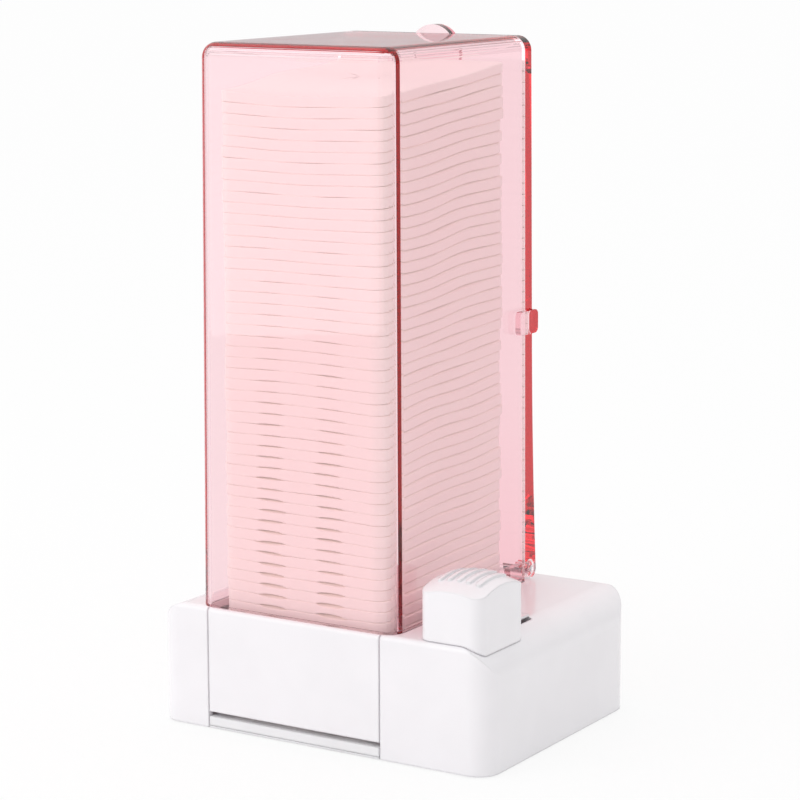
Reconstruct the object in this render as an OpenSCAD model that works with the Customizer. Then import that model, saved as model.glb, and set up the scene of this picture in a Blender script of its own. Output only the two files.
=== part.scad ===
// Cotton pad holder: a clear pink magazine of square cotton pads stands on a white base.
// The knob on the right shoulder slides back and forward and pushes the lowest pad out of
// the slot at the bottom of the front. A door at the back opens for refilling.
// Millimetres, +Z up, front towards -Y. The origin is on the table, under the middle of the base.

/* [Base] */
// Width of the base from side to side
base_w = 102.4; // [102:0.1:104]
// Depth of the base from front to back
base_d = 78.8; // [78.6:0.1:80]
// Height of the white housing
base_h = 33.2; // [32.6:0.1:34]
// Height by which the rubber feet stand proud of the base
foot_proud = 0.4; // [0.3:0.1:0.6]
// Wall thickness of the housing
wall = 2.2; // [2:0.1:2.4]
// Radius of the two front corners, seen from above
front_corner_r = 6; // [5:0.5:7]
// Radius of the two rear corners, seen from above
rear_corner_r = 8.5; // [7:0.5:9]
// Radius of the round shoulders along the left and right top edges
shoulder_r = 9; // [8:0.5:10]
// Radius of the small round on the front and rear top edges
edge_r = 1.4; // [1:0.1:1.8]

/* [Magazine] */
// Width of the magazine at its top
mag_w = 60; // [59.6:0.1:60.4]
// Depth of the magazine body at its top, without the door
mag_d = 66.7; // [66.4:0.1:66.8]
// Height of the magazine above the base
mag_h = 149.3; // [149:0.5:160]
// Growth of each side face from top to bottom, for mould release
mag_draft = 0.9; // [0.8:0.05:0.95]
// Wall thickness of the magazine
mag_wall = 2; // [1.8:0.1:2.2]
// Outer radius of the two vertical front corners
mag_corner_r = 5; // [4.5:0.5:5.5]
// Inner radius of the two vertical front corners
mag_corner_in_r = 2.4; // [2.2:0.1:3]
// Outer radius of the top edges
mag_top_r = 4; // [3:0.5:4.5]
// Inner radius of the top edges
mag_top_in_r = 1.8; // [1.2:0.1:2]
// Sideways place of the magazine's middle on the base
mag_x = -7.4; // [-7.6:0.1:-7.2]
// Setback of the magazine's front face at its top from the base's front
mag_setback = 1.2; // [1.1:0.05:1.4]

/* [Cotton pads] */
// Width of one pad
pad_w = 50; // [48:0.5:50.2]
// Depth of one pad, front to back
pad_d = 60; // [59:0.5:60.4]
// Number of pads in the full stack
pad_count = 58; // [30:1:60]
// Height of the stack's front edge above the tray
stack_h = 167; // [160:0.5:168]
// Extra height of the stack's back edge at the top, where the pads lie slanted
stack_lift = 5.4; // [0:0.1:5.6]

/* [Knob] */
// Width of the knob, left to right
knob_w = 18.6; // [18:0.1:19]
// Depth of the knob, front to back
knob_d = 23.2; // [22.5:0.1:24]
// Height of the knob's crown above the shoulder
knob_rise = 16.3; // [15:0.1:18]
// Radius of the domed crown
crown_r = 27.5; // [25:0.5:32]
// Radius of the knob's upright corners
knob_corner_r = 3.5; // [3:0.1:4]
// Number of grip ribs on the crown
rib_count = 5; // [3:1:5]
// Distance between neighbouring grip ribs
rib_pitch = 2.8; // [2.6:0.1:2.9]
// Travel of the knob, from front to back
travel = 24; // [20:1:24]

/* [Door] */
// Thickness of the rear door at its top
door_t = 3.4; // [3:0.1:3.6]
// Growth of the door's thickness towards the foot, for mould release
door_draft = 0.75; // [0.5:0.05:0.8]
// Extra thickness at the foot, where the door's outer face curves out
door_flare = 1.85; // [1.4:0.05:1.9]
// Height above the hinge where that curve starts
door_flare_h = 63.6; // [50:0.1:65]
// Radius of the finger disc on top of the door
tab_r = 7.3; // [6.5:0.1:8]
// Height of the finger disc's edge above the magazine
tab_rise = 2.4; // [2:0.1:3]
// Radius of the steel hinge pins
pin_r = 1; // [0.9:0.05:1.1]

/* [Hidden] */
$fn = 64;

eps = 0.01;             // small overlap that makes cuts run through
far = 400;              // size of a cutting block that is larger than the object
front_y = -base_d / 2;
rear_y = base_d / 2;
top_z = foot_proud + base_h;

// Base plate and what lies on it
plate_t = 2;
plate_top = foot_proud + plate_t;
plate_gap = 0.2;        // play between the base plate and the housing
foot_gap = 0.15;        // radial play of a foot in its recess
foot_r = 5;
foot_depth = 1.2;       // depth of a foot's recess in the base plate
foot_x = 40;
foot_y = 26;
screw_r = 1.25;
screw_head_out = 1.15;  // width of a screw head's rim outside its shank
screw_head_h = 1.1;
head_recess = 1.2;
head_recess_play = 0.2;
driver_w = 0.6;         // width of a screw head's cross recess
driver_l = 2.4;
driver_depth = 0.7;
hole_gap = 0.1;         // radial play around a screw's shank
pilot_gap = 0.02;       // radial play of a shank in its pilot hole
boss_r = 2.4;
boss_x = 45.5;
boss_y = 32.8;
boss_top = 22;
pilot_end = 14;         // height that the pilot holes of the housing screws reach
screw_end = 12;         // height that the housing screws reach
web_t = 1.2;            // thickness of the webs and ribs inside the housing
end_rib_places = [-14, 6];
end_rib_low = 6.4;      // height of the end ribs' lower edge
left_bay_in = 5.4;      // distance from the chute's outer wall to the end ribs
guide_h = 4;            // depth of the guide ribs beside the stem's slot
guide_step = 0.2;       // distance from a guide rib to the slot's edge

// Front opening, slot and tray
gate_x0 = -35.2;
gate_x1 = 19.2;
seam = 0.35;
tray_t = 1.1;
tray_top = plate_top + tray_t;
slot_h = 1.4;
lip_t = 2;
lip_gap = 0.1;          // play between the tray's lip and the strip of the plate behind it
strip_gap = 0.12;       // play between the front strip and the lip above it
lip_bottom = foot_proud + 0.65;
gate_bottom = tray_top + slot_h;
gate_t = 1.4;
gate_back = front_y + 3.4;
gate_flange = 3;
gate_rail_h = 2;
gate_rib_w = 1.4;
gate_low = 6.2;
gate_high = 26;
tray_x1 = 28;
tray_y1 = 36;

// Magazine
mag_bottom_w = mag_w + 2 * mag_draft;
mag_top_z = top_z + mag_h;
mag_front_top = front_y + mag_setback;
mag_front_bottom = mag_front_top - mag_draft;
mag_rear = mag_front_top + mag_d;
mag_behind = 20;        // length by which the magazine's form runs on behind its rear
skirt_t = 1.2;
skirt_in = 1.2;         // step from the magazine's outer face to its skirt
skirt_depth = 6;
skirt_gap = 0.2;
skirt_corner_r = 3;
well_rear = 28.6;
nub_w = 8;
nub_h = 1.8;
nub_out = 0.6;
nub_places = [-18, 12];
lug_t = 2;              // thickness of a hinge lug, inside the magazine's wall
lug_y0 = 22;
lug_bottom = top_z + 0.6;
lug_top = top_z + 4.8;
lug_r = 2.2;

// Chute for the pads inside the base
chute_t = 1.6;
chute_gap = 1.1;        // play at each side of the pads
chute_x0 = mag_x + 0.2 - pad_w / 2 - chute_gap;
chute_x1 = mag_x + 0.2 + pad_w / 2 + chute_gap;
chute_y0 = gate_back + 0.2;
chute_y1 = 26;
chute_top = top_z - skirt_depth - 0.2;
chute_boss_r = 2.5;
chute_screw_r = 1;
chute_boss_front = -16;
chute_boss_rear = 14;
chute_boss_in = 0.5;    // depth of a boss in the chute's wall
chute_boss_gap = 0.2;   // play of the bosses in the tray
chute_boss_out = chute_t + chute_boss_r - chute_boss_in;
chute_bosses = [[chute_x0 - chute_boss_out, chute_boss_front],
    [chute_x0 - chute_boss_out, chute_boss_rear],
    [chute_x1 + chute_boss_out, chute_boss_front]];
chute_boss_top = 18;
chute_pilot_end = 12.5;
chute_screw_end = 11;

// Pads
stack_y0 = gate_back + 0.6;
stack_x = mag_x + 0.2;
pad_pitch = stack_h / pad_count;
pad_share = 0.74;       // share of the pitch that one pad's edge fills
pad_corner_r = 3;
core_in = 1;            // depth of the grooves between pads
core_low = 0.1;         // least depth of the core's top below the top pad
stack_tilt = atan(stack_lift / pad_d);

// Slider
knob_x = 39.2;
knob_y0 = front_y + 1;
knob_y = knob_y0 + knob_d / 2;
knob_gap = 0.2;         // play between the knob and the shoulder
knob_wall = 2;
crown_z = top_z + knob_rise;
crown_centre = crown_z - crown_r;
rib_w = 1.5;
rib_len = 14;
rib_out = 0.55;
stem_w = 7.2;
stem_d = 7.4;
stem_top = 44;
stem_wall = 1.6;
stem_cap = 2;           // thickness of the stem's top, which the knob's screw holds
stem_gap = 0.1;
slot_play = 0.6;        // play of the stem at the slot's left side and at its ends
slot_end = front_y + 35.5;
slot_x0 = knob_x - stem_w / 2 - slot_play;
slot_x1 = 44.2;
slot_r = 1;
stem_y = slot_end - slot_play - travel - stem_d / 2;
slot_y0 = stem_y - stem_d / 2 - slot_play;
apron_gap = 0.15;       // the apron is a thin plate behind the knob that covers its slot
apron_t = 0.6;
apron_over = 1.5;       // width by which the apron lies over the slot's left edge
apron_x1 = 43.1;        // the slot stays open in a narrow strip beside this edge
apron_past = 0.5;
apron_r = 0.8;
socket_t = 1.5;
socket_low = 37;
socket_corner_r = 1;
hollow_top = 46;        // height that the hollow inside the knob reaches
relief_in = 0.5;        // the hollow above the stem is drawn in by this at each side
relief_low = 1;         // depth by which that hollow reaches into the socket
knob_boss_r = 2.6;
knob_screw_r = 1;
knob_screw_head_r = 1.9;
knob_screw_head_h = 1.3;
knob_screw_end = 47.5;
pilot_over = 0.4;       // depth of a pilot hole past its screw's end
blade_screw_head_h = 1.2;
blade_screw_in = 0.1;   // height of the blade screws' ends above the blade's underside
blade_t = 1.8;
blade_gap = 0.2;
blade_bottom = tray_top + blade_gap;
blade_top = blade_bottom + blade_t;
blade_y0 = 1;
blade_d = 9;
blade_x0 = chute_x0 + 1.6;
blade_x1 = 35.2;
beam_x0 = 28.4;
beam_x1 = 42.8;
beam_t = 3;
beam_y0 = stem_y - stem_d / 2;
beam_y1 = blade_y0 + blade_d;
brace_t = 1.4;
brace_h = 5;
brace_foot = 4;         // distance from the brace's rear end to the beam's
brace_reach = 6;
brace_top = top_z - wall - 6;
rail_x = 38.2;
rail_w = 2;
rail_h = 2.8;
rail_len = 70;
rail_gap = 0.1;
skid_t = 1.4;
blade_screw_x = 31.8;
blade_screw_pitch = 5;

// Door and its hinge
door_gap = 0.3;
door_y0 = mag_rear + door_gap;
door_foot = 37.2;       // height of the front lip's underside at the door's foot
door_steps = 14;        // flat faces of the curved foot
hinge_y = 32.4;
hinge_z = top_z + 2.8;
barrel_r = 2.4;
lug_gap = 0.3;
pin_gap = 0.06;         // running play of the pins in the magazine's lugs
pin_in = 5;             // length of a pin inside the door's barrel
pin_inset = 0.5;        // depth of a pin's outer end below the door's side
tab_t = 3.2;
tab_inset = 1.8;        // setback of the finger disc from the door's inner face
clip_z = 102.9;
clip_h = 6.4;
clip_t = 1.6;
clip_gap = 0.3;
clip_root = 3;          // depth of a clip's root in the door
clip_front = 22.9;
clip_r = 1.5;

WHITE = "#F5F3F5";
PINK = [0.90, 0.45, 0.53, 0.5];
COTTON = "#F6E9E7";
RUBBER = "#8C8A8E";
STEEL = "#B9BCC0";

// Half width of the magazine's outer face at a height
function mag_half(z) = mag_w / 2 + mag_draft * (mag_top_z - z) / mag_h;

// Outer face of the door at a height: a straight draft, with a parabola over its lowest part
function door_outer(z) = let (low = max(0, (hinge_z + door_flare_h - z) / door_flare_h))
    door_y0 + door_t + door_draft * (mag_top_z - z) / mag_h + door_flare * low * low;

// Flat outline with round corners, centred
module rounded_rect(w, d, r) {
    square([w, d - 2 * r], center = true);
    square([w - 2 * r, d], center = true);
    for (x = [-1, 1], y = [-1, 1])
        translate([x * (w / 2 - r), y * (d / 2 - r)]) circle(r);
}

// Outline of the base seen from above, drawn in by a distance
module base_outline(inset) {
    half = base_w / 2 - inset;
    fr = front_corner_r - inset;
    rr = rear_corner_r - inset;
    y0 = front_y + inset;
    y1 = rear_y - inset;
    translate([-half, y0 + fr]) square([2 * half, y1 - y0 - fr - rr]);
    translate([-half + fr, y0]) square([2 * (half - fr), y1 - y0 - rr]);
    translate([-half + rr, y0 + fr]) square([2 * (half - rr), y1 - y0 - fr]);
    for (x = [-1, 1]) {
        translate([x * (half - fr), y0 + fr]) circle(fr);
        translate([x * (half - rr), y1 - rr]) circle(rr);
    }
}

// Cross-section of the base seen from the front, drawn in by a distance, with round shoulders
module shoulder_section(inset) {
    half = base_w / 2 - inset;
    r = shoulder_r - inset;
    top = top_z - inset;
    translate([-half, -far / 2]) square([2 * half, far / 2 + top - r]);
    translate([-half + r, -far / 2]) square([2 * (half - r), far / 2 + top]);
    for (x = [-1, 1]) translate([x * (half - r), top - r]) circle(r);
}

// Lays a flat outline drawn in X and Z on its edge, from y0 to y1
module along_y(y0, y1) {
    translate([0, y1, 0]) rotate([90, 0, 0]) linear_extrude(y1 - y0) children();
}

// Lays a flat outline drawn in Y and Z on its edge, from x0 to x1
module along_x(x0, x1) {
    translate([x0, 0, 0]) rotate([90, 0, 90]) linear_extrude(x1 - x0) children();
}

// Solid block with the base's outer or inner form
module base_block(inset, z0) {
    intersection() {
        translate([0, 0, z0]) linear_extrude(top_z - inset - z0) base_outline(inset);
        along_y(front_y, rear_y) shoulder_section(inset);
    }
}

// Small round along the housing's front and rear top edges
module edge_rounds() {
    along_x(-base_w, base_w) {
        translate([front_y, -far / 2]) square([base_d, far / 2 + top_z - edge_r]);
        translate([front_y + edge_r, -far / 2]) square([base_d - 2 * edge_r, far / 2 + top_z]);
        for (y = [-1, 1]) translate([y * (rear_y - edge_r), top_z - edge_r]) circle(edge_r);
    }
}

module boss_places() {
    for (x = [-1, 1], y = [-1, 1]) translate([x * boss_x, y * boss_y, 0]) children();
}

module base_housing() {
    end_ribs_x = chute_x0 - chute_t - left_bay_in;
    color(WHITE) difference() {
        intersection() {
            union() {
                difference() {
                    base_block(0, foot_proud);
                    base_block(wall, foot_proud - eps);
                }
                intersection() {
                    base_block(wall - eps, plate_top);
                    union() {
                        boss_places() cylinder(h = boss_top, r = boss_r);
                        // Webs from the bosses up to the top wall
                        boss_places() translate([-web_t / 2, -boss_r, boss_top - wall])
                            cube([web_t, 2 * boss_r, base_h]);
                        // Ribs that stiffen the left end
                        for (y = end_rib_places)
                            translate([-base_w / 2, y, end_rib_low])
                                cube([base_w / 2 + end_ribs_x, web_t, base_h]);
                        // Guide ribs that hang at both sides of the stem's slot
                        for (x = [slot_x0 - guide_step - web_t, slot_x1 + guide_step])
                            translate([x, slot_y0, top_z - wall - guide_h])
                                cube([web_t, slot_end - slot_y0, guide_h + wall / 2]);
                    }
                }
            }
            edge_rounds();
        }
        // Well that takes the magazine's skirt
        translate([mag_x, (front_y + gate_t + well_rear) / 2, top_z - skirt_depth - skirt_gap])
            linear_extrude(far) rounded_rect(mag_bottom_w - 2 * skirt_in + 2 * skirt_gap,
                well_rear - front_y - gate_t, skirt_corner_r);
        // Opening for the gate, the slot and the tray's lip
        translate([gate_x0, front_y - 1, 0]) cube([gate_x1 - gate_x0, wall + 1 + eps, far]);
        // Slot for the knob's stem
        translate([(slot_x0 + slot_x1) / 2, (slot_y0 + slot_end) / 2, top_z - wall - 1])
            linear_extrude(wall + 2)
                rounded_rect(slot_x1 - slot_x0, slot_end - slot_y0, slot_r);
        // Pilot holes of the housing screws
        boss_places() translate([0, 0, plate_top - eps])
            cylinder(h = pilot_end - plate_top, r = screw_r + pilot_gap);
    }
}

module base_plate() {
    color(WHITE) difference() {
        union() {
            translate([0, 0, foot_proud]) linear_extrude(plate_t) base_outline(wall + plate_gap);
            // Front strip below the tray's lip
            translate([gate_x0 + seam, front_y, foot_proud])
                cube([gate_x1 - gate_x0 - 2 * seam, wall + 1, lip_bottom - foot_proud - strip_gap]);
            translate([gate_x0 + seam, front_y + lip_t, foot_proud])
                cube([gate_x1 - gate_x0 - 2 * seam, wall + 1, plate_t]);
            // Rail that the carriage rides on
            translate([rail_x - rail_w / 2, -rail_len / 2, plate_top - eps])
                cube([rail_w, rail_len, rail_h + eps]);
        }
        foot_places() translate([0, 0, foot_proud - eps])
            cylinder(h = foot_depth + eps, r = foot_r + foot_gap);
        boss_places() plate_screw_hole(screw_r);
        for (p = chute_bosses) translate(p) plate_screw_hole(chute_screw_r);
    }
}

// Countersunk hole for one screw that comes up through the base plate
module plate_screw_hole(r) {
    translate([0, 0, foot_proud - eps])
        cylinder(h = head_recess + eps, r = r + screw_head_out + head_recess_play);
    translate([0, 0, foot_proud]) cylinder(h = plate_t + 1, r = r + hole_gap);
}

module foot_places() {
    for (x = [-1, 1], y = [-1, 1]) translate([x * foot_x, y * foot_y, 0]) children();
}

module foot(x, y) {
    round_r = 0.4;
    color(RUBBER) translate([x * foot_x, y * foot_y, 0]) rotate_extrude()
        union() {
            square([foot_r - round_r, foot_proud + foot_depth]);
            translate([0, round_r]) square([foot_r, foot_proud + foot_depth - round_r]);
            translate([foot_r - round_r, round_r]) circle(round_r);
        }
}

module front_gate() {
    x0 = gate_x0 + seam;
    x1 = gate_x1 - seam;
    rib_places = 5;
    flange_t = 1.15;
    color(WHITE) {
        difference() {
            translate([x0, front_y, gate_bottom]) cube([x1 - x0, gate_t, top_z - gate_bottom]);
            // Round on the gate's top front edge, in line with the housing's
            difference() {
                translate([x0 - 1, front_y - eps, top_z - edge_r])
                    cube([x1 - x0 + 2, edge_r, edge_r + eps]);
                along_x(x0 - 2, x1 + 2)
                    translate([front_y + edge_r, top_z - edge_r]) circle(edge_r);
            }
        }
        // Upright ribs that guide the pads' front edges
        for (i = [0 : rib_places - 1])
            translate([x0 + (x1 - x0 - gate_rib_w) * i / (rib_places - 1), front_y + gate_t - eps,
                gate_low])
                cube([gate_rib_w, gate_back - front_y - gate_t + eps, gate_high - gate_low]);
        // Two cross rails whose ends clip behind the housing's front wall
        for (z = [gate_low, gate_high - gate_rail_h]) {
            translate([x0, front_y + gate_t - eps, z])
                cube([x1 - x0, gate_back - front_y - gate_t + eps, gate_rail_h]);
            translate([gate_x0 - gate_flange, gate_back - flange_t, z])
                cube([gate_x1 - gate_x0 + 2 * gate_flange, flange_t, gate_rail_h]);
        }
    }
}

module pad_tray() {
    color(WHITE) difference() {
        union() {
            translate([gate_x0 + seam, front_y, lip_bottom])
                cube([gate_x1 - gate_x0 - 2 * seam, lip_t - lip_gap, tray_top - lip_bottom]);
            translate([gate_x0 + seam, front_y + lip_t - lip_gap - eps, plate_top])
                cube([gate_x1 - gate_x0 - 2 * seam, wall + 1, tray_t]);
            translate([gate_x0 + seam, front_y + wall + plate_gap, plate_top])
                cube([tray_x1 - gate_x0 - seam, tray_y1 - front_y - wall - plate_gap, tray_t]);
        }
        for (p = chute_bosses)
            translate([p[0], p[1], plate_top - 1]) cylinder(h = tray_t + 2, r = chute_boss_r + chute_boss_gap);
    }
}

module pad_chute() {
    flange = 1.8;
    flange_t = 1.2;
    pass_z = blade_top + 0.8;   // underside of the walls that the pusher passes below
    pass_y = blade_y0 - 2;
    outer_x0 = chute_x0 - chute_t;
    outer_x1 = chute_x1 + chute_t;
    outer_y1 = chute_y1 + chute_t;
    color(WHITE) difference() {
        union() {
            translate([outer_x0, chute_y0, tray_top])
                cube([outer_x1 - outer_x0, outer_y1 - chute_y0, chute_top - tray_top]);
            translate([outer_x0 - flange, chute_y0, chute_top - flange_t])
                cube([outer_x1 - outer_x0 + 2 * flange, outer_y1 + flange - chute_y0, flange_t]);
            for (p = chute_bosses)
                translate([p[0], p[1], plate_top])
                    cylinder(h = chute_boss_top - plate_top, r = chute_boss_r);
        }
        // Room for the pads, open at the front
        translate([chute_x0, chute_y0 - 1, 0]) cube([chute_x1 - chute_x0, chute_y1 - chute_y0 + 1, far]);
        // Gap at the back and right for the pusher
        translate([chute_x0 - eps, pass_y, 0]) cube([far, far, pass_z]);
        for (p = chute_bosses)
            translate([p[0], p[1], plate_top - eps])
                cylinder(h = chute_pilot_end - plate_top, r = chute_screw_r + pilot_gap);
    }
}

// Solid with the magazine's drafted form, drawn in by a distance, run on behind the door.
// r_low rounds its upright corners and r_top its top edges.
module magazine_form(inset, z0, r_low, r_top) {
    top = mag_top_z - inset;
    grow = mag_draft * (top - z0) / mag_h;
    half_top = mag_w / 2 - inset;
    half_low = half_top + grow;
    y_top = mag_front_top + inset;
    y_rear = mag_rear + mag_behind;
    hull() {
        for (x = [-1, 1]) {
            for (y = [y_top - grow + r_low, y_rear])
                translate([mag_x + x * (half_low - r_low), y, z0])
                    cylinder(h = eps, r = r_low, $fn = 32);
            for (y = [y_top + r_low, y_rear])
                translate([mag_x + x * (half_top - r_low), y, top - r_top])
                    rotate_extrude($fn = 32) {
                        translate([r_low - r_top, 0]) intersection() {
                            circle(r_top, $fn = 32);
                            square(r_top);
                        }
                        square([r_low - r_top + eps, r_top]);
                    }
        }
    }
}

module magazine_box() {
    color(PINK) difference() {
        union() {
            difference() {
                magazine_form(0, top_z, mag_corner_r, mag_top_r);
                magazine_form(mag_wall, top_z - 0.5, mag_corner_in_r, mag_top_in_r);
                // Rear plane of the side walls and the roof
                translate([-far / 2, mag_rear, 0]) cube(far);
            }
            magazine_skirt();
            // Lugs inside the walls, which carry the hinge pins
            at_both_sides() along_x(lug_x1() - lug_t, lug_x1() + mag_wall / 2) hinge_lug_root();
            at_both_sides() along_x(lug_x1() - lug_t, lug_x1()) hinge_lug_outline();
        }
        // Holes for the hinge pins
        translate([mag_x - mag_w, hinge_y, hinge_z]) rotate([0, 90, 0])
            cylinder(h = 2 * mag_w, r = pin_r + pin_gap);
    }
}

// Distance of a lug's outer face from the magazine's middle
function lug_x1() = mag_half(hinge_z) - mag_wall - eps;

// Puts what is drawn for the right side at both sides of the magazine's middle
module at_both_sides() {
    for (x = [-1, 1]) translate([mag_x, 0, 0]) mirror([x < 0 ? 1 : 0, 0, 0]) children();
}

// Part of a hinge lug that is fused to the wall, in Y and Z
module hinge_lug_root() {
    translate([lug_y0, lug_bottom]) square([mag_rear - lug_y0 - eps, lug_top - lug_bottom]);
}

// Outline of a hinge lug in Y and Z
module hinge_lug_outline() {
    translate([lug_y0, lug_bottom]) square([hinge_y - lug_y0, lug_top - lug_bottom]);
    translate([hinge_y, hinge_z]) circle(lug_r);
}

// Three-sided skirt that drops into the housing's well, with snap nubs at its sides
module magazine_skirt() {
    half = mag_bottom_w / 2 - skirt_in;
    y0 = mag_front_bottom + skirt_in;
    y1 = well_rear - skirt_gap;
    nub_z = top_z - wall - skirt_gap;
    translate([mag_x, (y0 + y1) / 2, top_z - skirt_depth]) difference() {
        linear_extrude(skirt_depth + 0.3) rounded_rect(2 * half, y1 - y0, skirt_corner_r);
        translate([0, 0, -1]) linear_extrude(skirt_depth + 3)
            rounded_rect(2 * (half - skirt_t), y1 - y0 - 2 * skirt_t, skirt_corner_r - skirt_t);
        // Open at the back
        translate([-half + skirt_t, 0, -1]) cube([2 * (half - skirt_t), y1 - y0, skirt_depth + 3]);
    }
    at_both_sides() for (y = nub_places) along_y(y - nub_w / 2, y + nub_w / 2)
        polygon([[half - eps, nub_z], [half + nub_out, nub_z], [half - eps, nub_z - nub_h]]);
}

// Full stack: thin pads that lean forward more and more towards the top, round a plain core
module cotton_pad_stack() {
    step_y = blade_y0 - 0.6;    // the pads behind this line lie on the pusher
    step_z = blade_top + 0.3;
    pad_t = pad_pitch * pad_share;
    core_w = pad_w - 2 * core_in;
    core_d = pad_d - 2 * core_in;
    core_top = tray_top + stack_h - pad_pitch;
    color(COTTON) difference() {
        union() {
            for (i = [0 : pad_count - 1])
                translate([stack_x, stack_y0, tray_top + i * pad_pitch])
                    rotate([stack_tilt * i / (pad_count - 1), 0, 0])
                        translate([0, pad_d / 2, 0]) linear_extrude(pad_t)
                            rounded_rect(pad_w, pad_d, pad_corner_r);
            // Core with a slanted top, which joins the pads
            along_x(stack_x - core_w / 2, stack_x + core_w / 2)
                polygon([[stack_y0 + core_in, tray_top], [stack_y0 + core_in + core_d, tray_top],
                    [stack_y0 + core_in + core_d, core_top + core_low + core_d * tan(stack_tilt)],
                    [stack_y0 + core_in, core_top + core_low]]);
        }
        translate([-far / 2, step_y, 0]) cube([far, far, step_z]);
    }
}

// Screw that comes up through the base plate, with a flat head in its recess
module plate_screw(r, end) {
    head_z = foot_proud + head_recess - screw_head_h;
    translate([0, 0, head_z]) difference() {
        cylinder(h = screw_head_h, r = r + screw_head_out);
        // Cross recess for the driver
        for (a = [0, 90]) rotate([0, 0, a])
            translate([-driver_l / 2, -driver_w / 2, -eps]) cube([driver_l, driver_w, driver_depth]);
    }
    translate([0, 0, head_z + screw_head_h - eps]) cylinder(h = end - head_z - screw_head_h, r = r);
}

module housing_screws() {
    color(STEEL) boss_places() plate_screw(screw_r, screw_end);
}

module chute_screws() {
    color(STEEL) for (p = chute_bosses) translate(p) plate_screw(chute_screw_r, chute_screw_end);
}

module rear_door() {
    clip_half = mag_half(clip_z + clip_h / 2);
    color(PINK) difference() {
        union() {
            intersection() {
                along_x(mag_x - mag_w, mag_x + mag_w) door_side_outline();
                translate([mag_x, 0, 0]) along_y(0, base_d) door_rear_outline();
            }
            // Finger disc
            translate([mag_x, door_y0 + tab_inset, mag_top_z + tab_rise - tab_r])
                rotate([-90, 0, 0]) cylinder(h = tab_t, r = tab_r);
            // Side clips that grip the magazine's walls
            at_both_sides() {
                along_x(clip_half + clip_gap, clip_half + clip_gap + clip_t)
                    clip_outline(clip_front);
                along_x(clip_half - clip_root, clip_half + clip_gap + eps)
                    clip_outline(door_y0);
            }
        }
        // Notches for the magazine's lugs
        at_both_sides() along_x(lug_x1() - lug_t - lug_gap, lug_x1() + lug_gap) {
            translate([0, hinge_z - far]) square([hinge_y, far + lug_top - hinge_z + lug_gap]);
            translate([hinge_y, hinge_z]) circle(barrel_r + lug_gap);
        }
        // Bores for the pins
        at_both_sides() translate([lug_x1() - lug_t - lug_gap - pin_in, hinge_y, hinge_z])
            rotate([0, 90, 0]) cylinder(h = mag_w, r = pin_r);
    }
}

// Side outline of the door in Y and Z: a plate that grows towards its foot, on a hinge barrel
module door_side_outline() {
    flare_top = hinge_z + door_flare_h;
    polygon([[door_y0, door_foot], [door_y0, mag_top_z], [door_outer(mag_top_z), mag_top_z],
        for (i = [0 : door_steps])
            let (z = flare_top - door_flare_h * i / door_steps) [door_outer(z), z],
        [hinge_y, hinge_z], [hinge_y - barrel_r / 2, door_foot]]);
    translate([hinge_y, hinge_z]) circle(barrel_r);
}

// Outline of the door seen from behind
module door_rear_outline() {
    z0 = hinge_z - barrel_r;
    half_low = mag_half(z0);
    half_top = mag_w / 2;
    r = mag_top_r;
    polygon([[-half_low, z0], [half_low, z0], [half_top, mag_top_z - r], [half_top - r, mag_top_z],
        [-half_top + r, mag_top_z], [-half_top, mag_top_z - r]]);
    for (x = [-1, 1]) translate([x * (half_top - r), mag_top_z - r]) circle(r);
}

// Side outline of a clip in Y and Z, from a front edge to the door's outer face
module clip_outline(front) {
    rear = door_outer(clip_z);
    translate([(front + rear) / 2, clip_z + clip_h / 2]) rounded_rect(rear - front, clip_h, clip_r);
}

module hinge_pin(side) {
    outer = mag_half(hinge_z) - pin_inset;
    length = outer - lug_x1() + lug_t + lug_gap + pin_in;
    color(STEEL) translate([mag_x + (side > 0 ? outer - length : -outer), hinge_y, hinge_z])
        rotate([0, 90, 0]) cylinder(h = length, r = pin_r);
}

module slider_knob() {
    inner_w = knob_w - 2 * knob_wall;
    inner_d = knob_d - 2 * knob_wall;
    hole_w = stem_w + 2 * stem_gap;
    hole_d = stem_d + 2 * stem_gap;
    color(WHITE) difference() {
        union() {
            intersection() {
                translate([knob_x, knob_y, top_z - shoulder_r])
                    linear_extrude(far) rounded_rect(knob_w, knob_d, knob_corner_r);
                translate([knob_x, knob_y, crown_centre]) sphere(crown_r, $fn = 128);
            }
            // Grip ribs that run front to back over the crown
            intersection() {
                translate([knob_x, knob_y, top_z + knob_rise / 2])
                    for (i = [0 : rib_count - 1])
                        translate([(i - (rib_count - 1) / 2) * rib_pitch, 0, 0])
                            linear_extrude(knob_rise) rounded_rect(rib_w, rib_len, rib_w / 2 - eps);
                translate([knob_x, knob_y, crown_centre]) sphere(crown_r + rib_out, $fn = 128);
            }
        }
        // Underside that follows the shoulder
        translate([0, 0, knob_gap]) along_y(front_y - 1, rear_y) shoulder_section(0);
        // Hollow inside, round a socket for the stem and a boss for the screw
        difference() {
            translate([knob_x, knob_y, 0]) linear_extrude(hollow_top)
                rounded_rect(inner_w, inner_d, knob_corner_r - knob_wall);
            translate([knob_x, stem_y, socket_low]) linear_extrude(far) rounded_rect(
                hole_w + 2 * socket_t, hole_d + 2 * socket_t, socket_corner_r);
        }
        translate([knob_x, stem_y, stem_top / 2]) linear_extrude(stem_top / 2)
            square([hole_w, hole_d], center = true);
        difference() {
            translate([knob_x, stem_y, stem_top - relief_low])
                linear_extrude(hollow_top - stem_top + relief_low)
                    square([stem_w - 2 * relief_in, stem_d - 2 * relief_in], center = true);
            translate([knob_x, stem_y, stem_top]) cylinder(h = far, r = knob_boss_r);
        }
        translate([knob_x, stem_y, 0])
            cylinder(h = knob_screw_end + pilot_over, r = knob_screw_r + pilot_gap);
    }
    knob_apron();
}

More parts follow.
